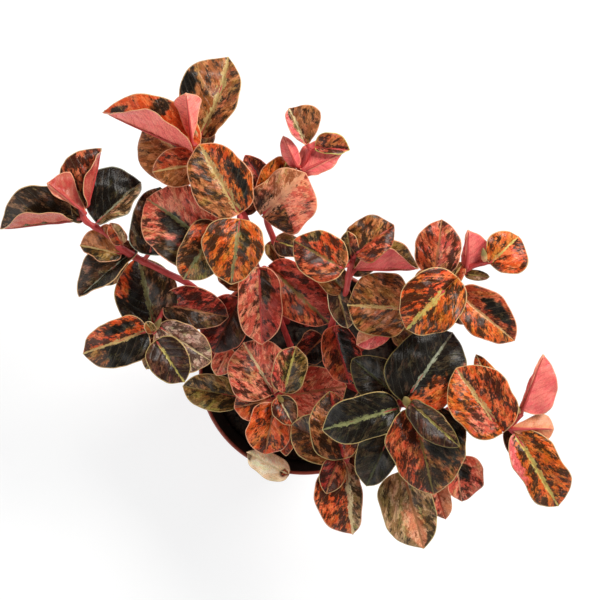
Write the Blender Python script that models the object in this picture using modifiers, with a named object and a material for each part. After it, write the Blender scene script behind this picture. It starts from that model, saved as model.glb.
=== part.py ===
"""Leafy house plant with mottled leaves in a round plastic pot.

Metres, +Z up. The origin is the centre of the pot's underside, and the leaves spread
over the rim on every side. Leaf positions are given on a plan of the plant as seen from
an eye straight above it, with x to the right and y down, in plan steps, and a height in
millimetres above the rim.
"""
import math
import random

import bpy
import bmesh
from mathutils import Vector

# pot and soil, metres
RIM_RADIUS = 0.060
RIM_HEIGHT = 0.095
RIM_BAND_HEIGHT = 0.012
POT_TOP_RADIUS = 0.0572
POT_BASE_RADIUS = 0.0430
POT_WALL = 0.0018
POT_FLOOR = 0.0022
POT_STEPS = 32
SOIL_STEPS = 32
DRAIN_HOLES = 6
DRAIN_RADIUS = 0.0040
DRAIN_CIRCLE = 0.0280
SOIL_DROP = 0.0100
SOIL_DEPTH_BELOW = 0.0120
GAP = 0.0003

# leaves and stems, metres
BLADE_THICKNESS = 0.0009
STEM_FOOT_RADIUS = 0.0022
STEM_TIP_RADIUS = 0.0013
PETIOLE_RADIUS = 0.0010

# the plan
PLAN_RIM_RADIUS = 105.1
PLAN_RIM_CENTRE = (303.8, 370.0)
PLAN_EYE = (300.0, 300.0)
EYE_HEIGHT = 850.0
PLAN_STEP = RIM_RADIUS * 1000.0 / PLAN_RIM_RADIUS

# node and colour of each leafy stem
STEM_NODES = {
    "a": ("stem_far_left", (0.1, 0.055, 0.03)),
    "b": ("stem_left", (0.14, 0.05, 0.02)),
    "c": ("stem_centre_left", (0.42, 0.12, 0.035)),
    "p": ("stem_back_left", (0.33, 0.12, 0.06)),
    "t": ("stem_back", (0.36, 0.1, 0.07)),
    "f": ("stem_centre_back", (0.28, 0.08, 0.03)),
    "e": ("stem_right", (0.38, 0.09, 0.03)),
    "g": ("stem_centre", (0.4, 0.08, 0.06)),
    "r": ("stem_low_front", (0.45, 0.08, 0.04)),
    "h": ("stem_front", (0.25, 0.06, 0.03)),
    "i": ("stem_front_right", (0.045, 0.035, 0.02)),
    "j": ("stem_front_low_right", (0.22, 0.07, 0.035)),
    "k": ("stem_far_right", (0.4, 0.12, 0.05)),
}

# marks along each stem: plan x, plan y, height above the rim in mm
STEMS = {
    "a": [(236, 338, -10), (216, 312, 18), (193, 287, 41), (165, 272, 52.5), (143, 261, 57.4),
          (122, 249, 60.7), (103, 232, 64), (86, 221, 67.2), (81, 209, 70.5)],
    "b": [(234, 366, -10), (205, 352, 18), (180, 342, 34.4), (160, 336, 45.9), (153, 330, 48.4)],
    "c": [(258, 332, -10), (248, 292, 28.7), (241, 245, 62.3), (240, 217, 82.8)],
    "p": [(286, 320, -10), (268, 290, 23), (255, 262, 41), (250, 228, 57.4), (225, 188, 69.7),
          (199, 158, 76.3), (198, 140, 79.5)],
    "t": [(306, 322, -10), (291, 280, 24.6), (274, 240, 49.2), (267, 215, 62.3), (283, 192, 68.9),
          (303, 165, 77.9), (310, 148, 81.2)],
    "f": [(326, 345, -10), (330, 332, 16.4), (334, 318, 32.8), (345, 295, 55.8), (350, 268, 72.2),
          (353, 258, 75.4)],
    "e": [(356, 352, -10), (376, 336, 24.6), (405, 311, 50.8), (443, 292, 72.2), (463, 271, 78.7),
          (485, 262, 82)],
    "g": [(290, 345, -10), (275, 305, 24.6), (264, 268, 50.8)],
    "r": [(284, 412, -10), (281, 402, 8.2), (278, 396, 19.7)],
    "h": [(336, 412, -10), (348, 428, 12.3), (353, 444, 26.2), (346, 460, 34.4)],
    "i": [(346, 384, -10), (372, 396, 28.7), (403, 404, 59), (409, 405, 63.1)],
    "j": [(358, 404, -10), (374, 424, 9.8), (398, 446, 24.6), (425, 462, 32.8), (450, 456, 36.1)],
    "k": [(368, 366, -10), (388, 390, 14.8), (415, 410, 32.8), (440, 414, 41), (452, 409, 44.3),
          (475, 418, 50.8), (500, 428, 55.8), (512, 424, 59), (521, 414, 62.3)],
}

# each leaf: stem, foot and tip on the plan with heights in mm, width of the left and right
# half in plan steps, and how far each half is folded up in degrees; a turned leaf shows its
# underside, peak is where it is widest, and lobe, sway and wedge shape its foot and midrib
LEAVES = {
    "a1": ("a", (70, 220, 69), (0, 229, 62), (28, 39), (118, 14), {}),
    "a2": ("a", (85, 213, 76), (47, 183, 85), (23, 5), (14, 12), {"peak": 0.74, "wedge": 0.8, "turned": True}),
    "a3": ("a", (87, 205, 72), (101, 148, 74), (34, 24), (12, 112), {"peak": 0.52}),
    "a4": ("a", (98.1, 221, 68), (141, 182, 64), (37, 20), (10, 60), {"peak": 0.58}),
    "a5": ("a", (82.7, 219.8, 66), (58, 196, 69), (10, 10), (15, 15), {}),
    "a6": ("a", (119.8, 253.7, 60), (79, 245, 59), (11, 26), (15, 15), {"peak": 0.38}),
    "a7": ("a", (134, 250, 56), (79, 297, 47), (16, 27), (62, 14), {}),
    "a8": ("a", (122.6, 242.8, 62), (110, 223, 71), (10, 9), (20, 20), {}),
    "a9": ("a", (122, 257, 38), (104, 286, 32), (12, 12), (12, 12), {}),
    "a10": ("a", (150, 252, 64), (160, 186, 63), (26, 25), (14, 14), {}),
    "b1": ("b", (153, 322, 39), (138, 256, 39), (32, 31), (14, 14), {}),
    "b2": ("b", (145, 332, 49), (82, 354, 41), (28, 24), (14, 14), {}),
    "b3": ("b", (157, 342, 52), (185, 383, 49), (19, 20), (14, 14), {}),
    "b4": ("b", (161, 328, 48), (211, 361, 41), (18, 29), (14, 12), {"peak": 0.6}),
    "b5": ("b", (153, 332.6, 51), (146, 322, 59), (6, 6), (25, 25), {}),
    "b6": ("b", (156, 340, 42), (146, 370, 38), (12, 9), (12, 12), {}),
    "m1": ("b", (166, 305, 44), (229, 317, 39), (25, 20), (12, 12), {}),
    "c4": ("c", (239.6, 221.8, 87), (231, 284, 81), (27, 34), (12, 12), {}),
    "c1": ("c", (238.1, 210.4, 85), (199, 144, 93), (32, 31), (12, 16), {}),
    "c3": ("c", (217, 226, 79), (183, 280, 77), (27, 24), (10, 14), {}),
    "c2": ("c", (207, 240, 70), (146, 198, 71), (42, 40), (14, 14), {"lobe": 0.22}),
    "m2": ("c", (238, 300, 34), (213, 354, 29), (22, 26), (12, 12), {}),
    "m3": ("c", (229, 349, 18), (216, 376, 16), (11, 11), (14, 14), {}),
    "p1": ("p", (192.5, 151.8, 80), (103, 110, 76), (33, 36), (125, 14), {}),
    "p2": ("p", (192, 144, 86), (186, 93, 94), (17, 15), (34, 34), {"peak": 0.8, "wedge": 0.9, "turned": True}),
    "p3": ("p", (201.1, 133.7, 78), (228, 56, 76), (40, 22), (12, 28), {"peak": 0.48, "sway": -4}),
    "p4": ("p", (194, 163, 75), (143, 126, 69), (36, 22), (12, 12), {}),
    "p5": ("p", (194, 165, 79), (152, 172, 82), (20, 21), (14, 14), {}),
    "p6": ("p", (201, 151, 74), (213, 128, 72), (8, 8), (15, 15), {}),
    "t1": ("t", (306, 142.8, 84), (289, 108, 94), (11, 29), (16, 16), {"peak": 0.58, "wedge": 0.4}),
    "t2": ("t", (316.4, 147.2, 82), (350, 150, 80), (17, 6), (20, 20), {"peak": 0.32}),
    "t3": ("t", (303.6, 171.7, 80), (342, 153, 78), (10, 25), (16, 20), {"peak": 0.34, "turned": True}),
    "t9": ("t", (296.4, 165.7, 81), (283, 136, 84), (8, 9), (20, 20), {"turned": True}),
    "t4": ("t", (263, 214, 69), (306, 173, 82), (24, 38), (12, 12), {}),
    "t5": ("t", (268, 199, 70), (290, 156, 75), (20, 18), (16, 16), {}),
    "t6": ("t", (268, 194, 66), (245, 155, 67), (13, 14), (12, 12), {}),
    "t7": ("t", (276, 241.2, 51), (305, 250, 51), (12, 13), (14, 14), {}),
    "t8": ("t", (269, 243, 48), (283, 263, 46), (8, 9), (14, 14), {}),
    "f1": ("f", (342, 268, 85), (293, 240, 85), (24, 24), (14, 14), {}),
    "f2": ("f", (356.9, 253, 82), (394, 225, 80), (27, 18), (14, 14), {}),
    "f3": ("f", (351.4, 258.3, 75), (347, 231, 89), (9, 10), (20, 20), {}),
    "f4": ("f", (356.7, 268, 67), (419, 268, 63), (31, 30), (12, 130), {}),
    "g3": ("f", (337, 287, 56), (348, 329, 48), (14, 14), (14, 14), {}),
    "g5": ("f", (323, 338, 23), (300, 360, 20), (18, 16), (12, 12), {}),
    "n1": ("f", (334.2, 328.6, 31), (350, 385, 24), (20, 20), (12, 12), {}),
    "e1": ("e", (435, 273, 80), (442, 219, 85), (24, 24), (14, 14), {}),
    "e3": ("e", (450.7, 281.5, 79), (464, 262, 80), (9, 9), (20, 20), {}),
    "e5": ("e", (444, 291, 89), (406, 330, 85), (30, 32), (12, 12), {"lobe": 0.36}),
    "e6": ("e", (466.2, 265.2, 81), (468, 230, 88), (28, 6), (20, 20), {"peak": 0.32, "turned": True}),
    "e7": ("e", (490.8, 262.3, 84), (519, 236, 81), (18, 27), (14, 14), {"peak": 0.55}),
    "e8": ("e", (466, 274, 75), (490, 277, 74), (6, 6), (12, 12), {}),
    "e9": ("e", (459, 295, 75), (515, 341, 66), (25, 21), (14, 14), {}),
    "g4": ("e", (402.2, 308.7, 51), (347, 305, 60), (32, 38), (14, 14), {"lobe": 0.12}),
    "n2": ("e", (389.2, 328.4, 39), (356, 345, 36), (12, 14), (12, 12), {}),
    "g1": ("g", (259.1, 270.4, 55), (262, 345, 49), (23, 24), (14, 14), {}),
    "g2": ("g", (270.7, 268.7, 51), (330, 324, 41), (26, 26), (14, 14), {}),
    "g6": ("r", (284, 391, 25), (296, 346, 31), (18, 18), (14, 14), {}),
    "g7": ("r", (272.7, 391.5, 21), (243, 342, 24), (34, 31), (14, 14), {}),
    "g8": ("r", (270, 400, 18), (234, 408, 15), (19, 19), (14, 14), {}),
    "g9": ("r", (279, 398, 26), (293, 425, 28), (13, 13), (16, 16), {}),
    "g10": ("r", (274, 405, 22), (265, 455, 16), (22, 24), (14, 14), {"peak": 0.56}),
    "g11": ("r", (281.2, 407.6, 13), (286, 456, 8), (14, 12), (12, 12), {}),
    "l1": ("r", (286, 396, 13), (347, 386, 10), (25, 25), (12, 12), {}),
    "m4": ("r", (238, 397, 10), (182, 386, 7), (20, 19), (12, 12), {}),
    "h1": ("h", (339, 447, 36), (291, 425, 32), (26, 22), (12, 12), {}),
    "h2": ("h", (343, 456, 40), (330, 391, 38), (28, 20), (12, 16), {}),
    "j1": ("h", (338, 459, 38), (326, 494, 40), (13, 13), (16, 16), {}),
    "j2": ("h", (346.2, 466.5, 34), (353, 536, 25), (13, 35), (14, 14), {}),
    "i1": ("i", (396, 409, 64), (322, 430, 60), (25, 26), (14, 14), {}),
    "i2": ("i", (397, 396, 59), (352, 359, 54), (23, 23), (14, 14), {}),
    "i3": ("i", (411, 392, 67), (453, 332, 61), (39, 38), (14, 14), {"lobe": 0.18}),
    "i4": ("i", (412, 404, 70), (460, 447, 71), (13, 18), (28, 14), {}),
    "i5": ("i", (415, 416, 65), (434, 495, 54), (46, 34), (14, 14), {"lobe": 0.12}),
    "i6": ("i", (396, 422, 57), (366, 487, 49), (19, 26), (14, 14), {"peak": 0.56}),
    "j3": ("j", (404, 474, 36), (424, 549, 28), (25, 35), (14, 14), {}),
    "j4": ("j", (430, 469, 33), (446, 520, 26), (14, 14), (12, 12), {}),
    "j5": ("j", (455.2, 458.4, 39), (462, 502, 33), (28, 14), (14, 14), {}),
    "k1": ("k", (494, 420, 69), (456, 368, 74), (32, 35), (12, 14), {"lobe": 0.25}),
    "k2": ("k", (504, 414, 56), (476, 354, 57), (14, 14), (12, 12), {}),
    "k3": ("k", (522.4, 408.3, 66), (543, 355, 69), (31, 6), (18, 18), {"peak": 0.3, "turned": True}),
    "k4": ("k", (512.8, 429, 61), (554, 429, 59), (12, 16), (20, 20), {"peak": 0.7, "wedge": 0.5, "turned": True}),
    "k5": ("k", (517, 436, 60), (559, 507, 49), (28, 20), (14, 14), {"peak": 0.64}),
    "c_low1": ("c", (244, 284.3, 31), (218, 268, 26), (13, 13), (12, 12), {}),
    "p_low1": ("p", (231.9, 199, 64), (207, 196, 57), (16, 14), (12, 12), {}),
    "p_low2": ("p", (240.8, 211.1, 61), (263, 186, 54), (13, 12), (12, 12), {}),
    "t_low1": ("t", (297, 275, 26), (328, 264, 21), (14, 14), (12, 12), {}),
    "f_low1": ("f", (349.9, 269.5, 65), (384, 249, 60), (15, 15), (12, 12), {}),
    "f_low2": ("f", (343.3, 290.1, 56), (319, 262, 54), (15, 15), (12, 12), {}),
    "e_low1": ("e", (439.4, 296.8, 67), (478, 318, 56), (17, 17), (12, 12), {}),
    "e_low2": ("e", (420.5, 301.4, 57), (432, 268, 51), (15, 15), (12, 12), {}),
    "e_low3": ("e", (398, 324.8, 41), (428, 346, 36), (18, 18), (12, 12), {}),
    "b_low1": ("b", (160, 337, 38), (110, 347, 27), (18, 18), (12, 12), {}),
    "b_low2": ("b", (199, 352, 16), (170, 364, 10), (13, 13), (12, 12), {}),
    "a_low1": ("a", (209, 309.2, 20), (180, 312, 15), (13, 13), (12, 12), {}),
    "a_low2": ("a", (126, 253, 54), (92, 266, 44), (12, 12), (12, 12), {}),
    "i_low1": ("i", (400.2, 398.7, 52), (428, 370, 46), (19, 19), (12, 12), {}),
    "i_low2": ("i", (388, 401.7, 51), (350, 407, 48), (17, 17), (12, 12), {}),
    "k_low1": ("k", (483.6, 420.4, 51), (463, 387, 46), (17, 17), (12, 12), {}),
    "k_low2": ("k", (509, 429, 54), (540, 468, 43), (14, 14), (12, 12), {}),
    "j_low1": ("j", (422.4, 460.4, 30), (402, 438, 25), (14, 14), (12, 12), {}),
    "h_low1": ("h", (349, 457, 30), (376, 454, 25), (13, 13), (12, 12), {}),
}

# closed buds at the growing tips: stem, foot, tip, half width in plan steps
BUDS = [
    ("a", (81, 208, 70.5), (79, 191, 77.1), 3.2),
    ("b", (154, 331, 49.2), (161, 318, 55.8), 2.6),
    ("t", (267, 213, 63.1), (265, 200, 73.8), 3.6),
    ("i", (408, 405, 64), (405, 397, 75.4), 3.4),
    ("p", (198, 139, 80.4), (193, 128, 85.3), 2.6),
    ("e", (485, 262, 82.8), (483, 248, 88.6), 2.6),
    ("k", (521, 413, 62.3), (513, 404, 70.5), 2.4),
    ("r", (278, 396, 19.7), (283, 402, 31.2), 2.8),
]

# the dry leaf over the front rim
WITHERED = ("", (287, 474, 2), (246, 452, 2), (15, 13), (-22, -20), {})

# share of the full width at shares of the length, from the heart-shaped foot to the tip
WIDEST = 0.42
OUTLINE = [
    (0.00, 0.36), (0.06, 0.63), (0.15, 0.85), (0.28, 0.98), (WIDEST, 1.00),
    (0.58, 0.96), (0.72, 0.85), (0.85, 0.63), (0.94, 0.36), (1.00, 0.00),
]
LARGE_STATIONS = [0.0, 0.15, 0.40, 0.66, 0.87, 1.0]
MIDDLE_STATIONS = [0.0, 0.18, 0.48, 0.80, 1.0]
SMALL_STATIONS = [0.0, 0.25, 0.65, 1.0]


def place(x, y, height):
    """Plan position and height above the rim to metres."""
    near = (EYE_HEIGHT - height) / EYE_HEIGHT
    px = (PLAN_EYE[0] - PLAN_RIM_CENTRE[0]) + (x - PLAN_EYE[0]) * near
    py = (PLAN_RIM_CENTRE[1] - PLAN_EYE[1]) + (PLAN_EYE[1] - y) * near
    return Vector((px * PLAN_STEP, py * PLAN_STEP, height)) * 0.001 + Vector((0, 0, RIM_HEIGHT))


def share_of_width(u, peak=WIDEST, wedge=0.0):
    """The outline with its widest place moved to the peak and the foot narrowed to a wedge."""
    slim = max(0.1, min(1.0, u / peak)) ** wedge
    u = WIDEST * u / peak if u < peak else WIDEST + (1 - WIDEST) * (u - peak) / (1 - peak)
    for (u0, w0), (u1, w1) in zip(OUTLINE, OUTLINE[1:]):
        if u <= u1:
            return slim * (w0 + (w1 - w0) * (u - u0) / (u1 - u0))
    return 0.0


def half_section(fold, t):
    """Sideways reach and lift of a half blade that bends down towards its margin."""
    start = math.radians(fold + 8)
    bend = math.radians(-20)
    now = start + bend * t
    return (math.sin(now) - math.sin(start)) / bend, (math.cos(start) - math.cos(now)) / bend


def blade_point(leaf, u, v):
    """A point of the blade, u from foot to tip and v from the right margin to the left."""
    stem, foot, tip, widths, folds, extra = leaf
    dx = tip[0] - foot[0]
    dy = tip[1] - foot[1]
    length = math.hypot(dx, dy)
    ax = dx / length
    ay = dy / length
    left = v > 0
    width = widths[0] if left else widths[1]
    fold = folds[0] if left else folds[1]
    if fold > 75:
        fold = 75 + (fold - 75) * math.sqrt(4 * u * (1 - u))
    reach, rise = half_section(fold, abs(v))
    width *= share_of_width(u, extra.get("peak", WIDEST), extra.get("wedge", 0.0))
    side = width * reach * (1 if left else -1)
    lift = width * rise * PLAN_STEP
    if extra.get("turned"):
        side = -side
        lift = -lift
    bow = 0.09 * math.hypot(length * PLAN_STEP, tip[2] - foot[2]) * 4 * u * (1 - u)
    back = extra.get("lobe", 0.05) * length * abs(v) ** 1.6 * (1 - u) ** 2.2
    along = length * u - back
    side += extra.get("sway", 0) * 4 * u * (1 - u)
    height = foot[2] + (tip[2] - foot[2]) * u + bow + lift
    return place(foot[0] + ax * along + ay * side, foot[1] + ay * along - ax * side, height)


def link(obj, collection):
    collection.objects.link(obj)
    return obj


def blade(name, leaf, collection):
    """An open grid bent into the leaf, with Solidify for its thickness."""
    widest = max(leaf[3])
    stations = LARGE_STATIONS if widest > 30 else MIDDLE_STATIONS if widest > 11 else SMALL_STATIONS
    across = 2 if widest > 23 else 1
    bm = bmesh.new()
    bmesh.ops.create_grid(bm, x_segments=len(stations) - 1, y_segments=across * 2, size=1.0)
    for vert in bm.verts:
        row = round((vert.co.x + 1) / 2 * (len(stations) - 1))
        vert.co = blade_point(leaf, stations[row], vert.co.y)
    bmesh.ops.remove_doubles(bm, verts=bm.verts[:], dist=0.00002)
    bmesh.ops.triangulate(bm, faces=bm.faces[:])
    mesh = bpy.data.meshes.new(name)
    bm.to_mesh(mesh)
    bm.free()
    obj = link(bpy.data.objects.new(name, mesh), collection)
    skin = obj.modifiers.new("thickness", "SOLIDIFY")
    skin.thickness = BLADE_THICKNESS
    skin.offset = 0.0
    return obj


def tube(name, points, radii, resolution, collection):
    """A round tube with filled ends, made a mesh so that it can be joined."""
    curve = bpy.data.curves.new(name, "CURVE")
    curve.dimensions = "3D"
    curve.bevel_depth = 1.0
    curve.bevel_resolution = resolution
    curve.use_fill_caps = True
    spline = curve.splines.new("POLY")
    spline.points.add(len(points) - 1)
    for i, (point, radius) in enumerate(zip(points, radii)):
        spline.points[i].co = (point.x, point.y, point.z, 1.0)
        spline.points[i].radius = radius
    guide = link(bpy.data.objects.new(name + "_guide", curve), collection)
    depsgraph = bpy.context.evaluated_depsgraph_get()
    mesh = bpy.data.meshes.new_from_object(guide.evaluated_get(depsgraph))
    bpy.data.objects.remove(guide, do_unlink=True)
    bm = bmesh.new()
    bm.from_mesh(mesh)
    bmesh.ops.remove_doubles(bm, verts=bm.verts[:], dist=0.000002)
    bmesh.ops.recalc_face_normals(bm, faces=bm.faces[:])
    bm.to_mesh(mesh)
    bm.free()
    mesh.name = name
    return link(bpy.data.objects.new(name, mesh), collection)


def stem_path(key):
    """The stem's line from inside its hole in the soil to its growing tip."""
    marks = [place(*mark) for mark in STEMS[key]]
    rise = (marks[1] - marks[0]).normalized()
    foot = marks[0] - rise * (SOIL_DEPTH_BELOW / rise.z - GAP)
    collar = marks[0] + rise * 0.005
    return [foot, marks[0], collar] + marks[1:]


def nearest_on(path, point):
    """The place on the upper stem that a leaf stalk grows from, a little under the leaf."""
    aim = point - Vector((0, 0, 0.003))
    best = None
    for a, b in zip(path[2:], path[3:]):
        for k in range(9):
            spot = a.lerp(b, k / 8)
            if spot.z > RIM_HEIGHT - 0.004 and (best is None or (spot - aim).length < (best - aim).length):
                best = spot
    return best


def material(name, colour, roughness, metallic=0.0):
    made = bpy.data.materials.new(name)
    made.use_nodes = True
    shader = made.node_tree.nodes["Principled BSDF"]
    shader.inputs["Base Color"].default_value = (*colour, 1.0)
    shader.inputs["Roughness"].default_value = roughness
    shader.inputs["Metallic"].default_value = metallic
    return made


def grow_stem(key, name, colour):
    """One leafy stem: the tube, its leaf stalks, blades and buds joined into one body."""
    pieces = bpy.data.collections.new(name + "_pieces")
    bpy.context.scene.collection.children.link(pieces)
    path = stem_path(key)
    count = len(path) - 1
    radii = [STEM_FOOT_RADIUS + (STEM_TIP_RADIUS - STEM_FOOT_RADIUS) * i / count for i in range(count + 1)]
    stem = tube(name, path, radii, 1, plant)
    for leaf_name, leaf in LEAVES.items():
        if leaf[0] != key:
            continue
        blade(leaf_name, leaf, pieces)
        start = nearest_on(path, blade_point(leaf, 0.0, 0.0))
        middle = blade_point(leaf, 0.0, 0.0) - Vector((0, 0, 0.0004))
        end = blade_point(leaf, 0.11, 0.0)
        line = [start, middle, end] if (middle - start).length > 0.004 else [start, end]
        widths = [PETIOLE_RADIUS * 1.1] * (len(line) - 1) + [PETIOLE_RADIUS * 0.3]
        tube(leaf_name + "_stalk", line, widths, 0, pieces)
    for i, (owner, low, high, radius) in enumerate(BUDS):
        if owner == key:
            a = place(*low)
            b = place(*high)
            wide = radius * PLAN_STEP * 0.001
            tube(name + "_bud", [a, a.lerp(b, 0.45), b], [wide * 0.6, wide, wide * 0.3], 1, pieces)
    union = stem.modifiers.new("union", "BOOLEAN")
    union.operation = "UNION"
    union.operand_type = "COLLECTION"
    union.collection = pieces
    union.solver = "EXACT"
    depsgraph = bpy.context.evaluated_depsgraph_get()
    joined = bpy.data.meshes.new_from_object(stem.evaluated_get(depsgraph))
    stem.modifiers.clear()
    stem.data = joined
    joined.name = name
    for piece in list(pieces.objects):
        bpy.data.objects.remove(piece, do_unlink=True)
    bpy.data.collections.remove(pieces)
    bm = bmesh.new()
    bm.from_mesh(joined)
    bmesh.ops.remove_doubles(bm, verts=bm.verts[:], dist=0.000002)
    bmesh.ops.dissolve_degenerate(bm, edges=bm.edges[:], dist=0.000002)
    bmesh.ops.triangulate(bm, faces=bm.faces[:])
    bm.to_mesh(joined)
    bm.free()
    joined.materials.clear()
    joined.materials.append(material(name, colour, 0.45))
    joined.shade_smooth()
    joined.set_sharp_from_angle(angle=math.radians(50))
    return stem


def turned(name, profile, steps, collection):
    """A profile of radius and height at +X, turned about Z."""
    mesh = bpy.data.meshes.new(name)
    verts = [(r, 0.0, z) for r, z in profile]
    mesh.from_pydata(verts, [(i, i + 1) for i in range(len(verts) - 1)], [])
    obj = link(bpy.data.objects.new(name, mesh), collection)
    screw = obj.modifiers.new("turn", "SCREW")
    screw.axis = "Z"
    screw.angle = math.radians(360)
    screw.steps = steps
    screw.render_steps = steps
    screw.use_merge_vertices = True
    screw.merge_threshold = 0.00001
    return obj


def cutter(name, centre, direction, radius, length, sides):
    """A round cutter standing on its centre line."""
    bm = bmesh.new()
    bmesh.ops.create_cone(bm, cap_ends=True, segments=sides, radius1=radius, radius2=radius, depth=length)
    mesh = bpy.data.meshes.new(name)
    bm.to_mesh(mesh)
    bm.free()
    obj = link(bpy.data.objects.new(name, mesh), cutters)
    obj.location = centre
    obj.rotation_euler = direction.to_track_quat("Z", "Y").to_euler()
    obj.hide_render = True
    obj.display_type = "WIRE"
    return obj


def cut(target, tool):
    knife = target.modifiers.new("cut " + tool.name, "BOOLEAN")
    knife.operation = "DIFFERENCE"
    knife.object = tool
    knife.solver = "EXACT"


def inner_radius(z):
    """The pot wall's inner radius at height z."""
    share = (z - 0.0) / RIM_HEIGHT
    return POT_BASE_RADIUS + (POT_TOP_RADIUS - POT_BASE_RADIUS) * share - POT_WALL


def make_pot():
    band_foot = RIM_HEIGHT - RIM_BAND_HEIGHT
    under_band = POT_BASE_RADIUS + (POT_TOP_RADIUS - POT_BASE_RADIUS) * band_foot / RIM_HEIGHT
    inside = [
        (0.0, POT_FLOOR),
        (inner_radius(POT_FLOOR), POT_FLOOR),
        (inner_radius(band_foot), band_foot),
    ]
    outside = [
        (RIM_RADIUS - POT_WALL, RIM_HEIGHT),
        (RIM_RADIUS - 0.0005, RIM_HEIGHT),
        (RIM_RADIUS, RIM_HEIGHT - 0.0006),
        (RIM_RADIUS - 0.0008, band_foot),
        (under_band, band_foot),
        (POT_BASE_RADIUS, 0.0010),
        (POT_BASE_RADIUS - 0.0008, 0.0),
        (0.0, 0.0),
    ]
    pot = turned("pot", inside + outside, POT_STEPS, plant)
    for i in range(DRAIN_HOLES):
        angle = 2 * math.pi * (i + 0.31) / DRAIN_HOLES
        centre = Vector((DRAIN_CIRCLE * math.cos(angle), DRAIN_CIRCLE * math.sin(angle), POT_FLOOR / 2))
        cut(pot, cutter(f"drain_{i}", centre, Vector((0, 0, 1)), DRAIN_RADIUS, POT_FLOOR * 3, 12))
    pot.data.materials.append(material("pot_plastic", (0.36, 0.07, 0.035), 0.5))
    pot.data.shade_smooth()
    return pot


def make_soil():
    """The potting soil: it fills the pot, and its top is slightly lumpy."""
    top = RIM_HEIGHT - SOIL_DROP
    low = POT_FLOOR + GAP
    band_foot = RIM_HEIGHT - RIM_BAND_HEIGHT
    edge = inner_radius(min(top, band_foot)) - GAP
    rings = [0.0, 0.014, 0.028, 0.041, edge - 0.002]
    profile = [(r, top) for r in rings]
    profile += [
        (edge, top - 0.0016),
        (inner_radius(low) - GAP, low),
        (0.0, low),
    ]
    guide = turned("soil_guide", profile, SOIL_STEPS, plant)
    depsgraph = bpy.context.evaluated_depsgraph_get()
    mesh = bpy.data.meshes.new_from_object(guide.evaluated_get(depsgraph))
    bpy.data.objects.remove(guide, do_unlink=True)
    lumps = random.Random(4)
    for vert in mesh.vertices:
        if vert.co.z > top - 0.0001:
            vert.co.z += lumps.uniform(-0.0010, 0.0010)
    mesh.name = "soil"
    soil = link(bpy.data.objects.new("soil", mesh), plant)
    for key, marks in STEMS.items():
        foot = place(*marks[0])
        rise = (place(*marks[1]) - foot).normalized()
        below = SOIL_DEPTH_BELOW / rise.z
        above = 0.0045
        centre = foot + rise * (above - below) / 2
        cut(soil, cutter("stem_hole_" + key, centre, rise, STEM_FOOT_RADIUS + 0.0007, below + above, 8))
    soil.data.materials.append(material("potting_soil", (0.012, 0.010, 0.009), 0.9))
    return soil


def make_withered_leaf():
    """A dry leaf lying over the rim at the front."""
    blade("withered_leaf", WITHERED, plant)
    obj = bpy.data.objects["withered_leaf"]
    obj.data.materials.append(material("dry_leaf", (0.72, 0.62, 0.46), 0.7))
    return obj


for old in list(bpy.data.objects):
    bpy.data.objects.remove(old, do_unlink=True)

plant = bpy.data.collections.new("potted_plant")
bpy.context.scene.collection.children.link(plant)
cutters = bpy.data.collections.new("cutters")
bpy.context.scene.collection.children.link(cutters)

make_pot()
make_soil()
for key, (node, colour) in STEM_NODES.items():
    grow_stem(key, node, colour)
make_withered_leaf()
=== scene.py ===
"""Looks of the leafy house plant in its round pot: finer blades, stems, soil and pot that
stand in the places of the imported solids, with materials made from nodes.

Leaf places are given on a plan of the plant as seen from an eye straight above it, with
x to the right and y down, in plan steps, and a height in millimetres above the rim.
"""
import math
import random
from collections import namedtuple
from types import SimpleNamespace

import bmesh
import bpy
import numpy as np
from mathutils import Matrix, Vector, noise


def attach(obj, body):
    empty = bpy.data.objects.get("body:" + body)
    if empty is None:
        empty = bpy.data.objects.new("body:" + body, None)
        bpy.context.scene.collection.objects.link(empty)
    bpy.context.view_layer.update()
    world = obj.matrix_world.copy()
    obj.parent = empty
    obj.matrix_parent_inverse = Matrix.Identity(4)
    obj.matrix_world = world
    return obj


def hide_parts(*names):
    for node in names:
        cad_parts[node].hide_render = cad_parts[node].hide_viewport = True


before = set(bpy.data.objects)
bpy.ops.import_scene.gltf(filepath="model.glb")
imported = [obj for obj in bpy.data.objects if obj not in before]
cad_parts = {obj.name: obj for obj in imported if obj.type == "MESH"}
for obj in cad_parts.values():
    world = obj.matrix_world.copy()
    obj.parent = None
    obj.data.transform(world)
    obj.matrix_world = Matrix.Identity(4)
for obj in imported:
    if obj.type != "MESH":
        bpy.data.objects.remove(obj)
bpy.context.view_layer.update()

MM = 0.001

# pot and soil, metres
RIM_RADIUS = 0.060
RIM_HEIGHT = 0.095
RIM_BAND_HEIGHT = 0.012
LIP_RADIUS = 0.0010
POT_TOP_RADIUS = 0.0572
POT_BASE_RADIUS = 0.0430
POT_WALL = 0.0018
POT_FLOOR = 0.0022
POT_STEPS = 144
DRAIN_HOLES = 6
DRAIN_RADIUS = 0.0040
DRAIN_CIRCLE = 0.0280
DRAIN_TURN = 0.31
SOIL_DROP = 0.0100
SOIL_RINGS = 46
SOIL_STEPS = 128
CRUMBS = 420
GAP = 0.0003

# stems, metres, and how far they swell at a node as a share of their radius
STEM_FOOT_RADIUS = 0.0022
STEM_TIP_RADIUS = 0.0013
STALK_TAPER = 0.00115
STALK_TIP_RADIUS = 0.00022
NODE_SWELL = 0.30
NODE_REACH = 0.0022

# the plan in its own steps, with the eye's height and the length of a step in mm
PLAN_RIM_RADIUS = 105.1
PLAN_RIM_CENTRE = (303.8, 370.0)
PLAN_EYE = (300.0, 300.0)
PLAN_HALF_WIDTH = 300.0
EYE_HEIGHT = 850.0
PLAN_STEP = RIM_RADIUS * 1000.0 / PLAN_RIM_RADIUS

# as shares of its length, when the table doesn't say: where a blade is widest and how far its foot
# reaches back; and how far its middle bows up
WIDEST = 0.42
LOBE = 0.05
BOW = 0.09

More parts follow.
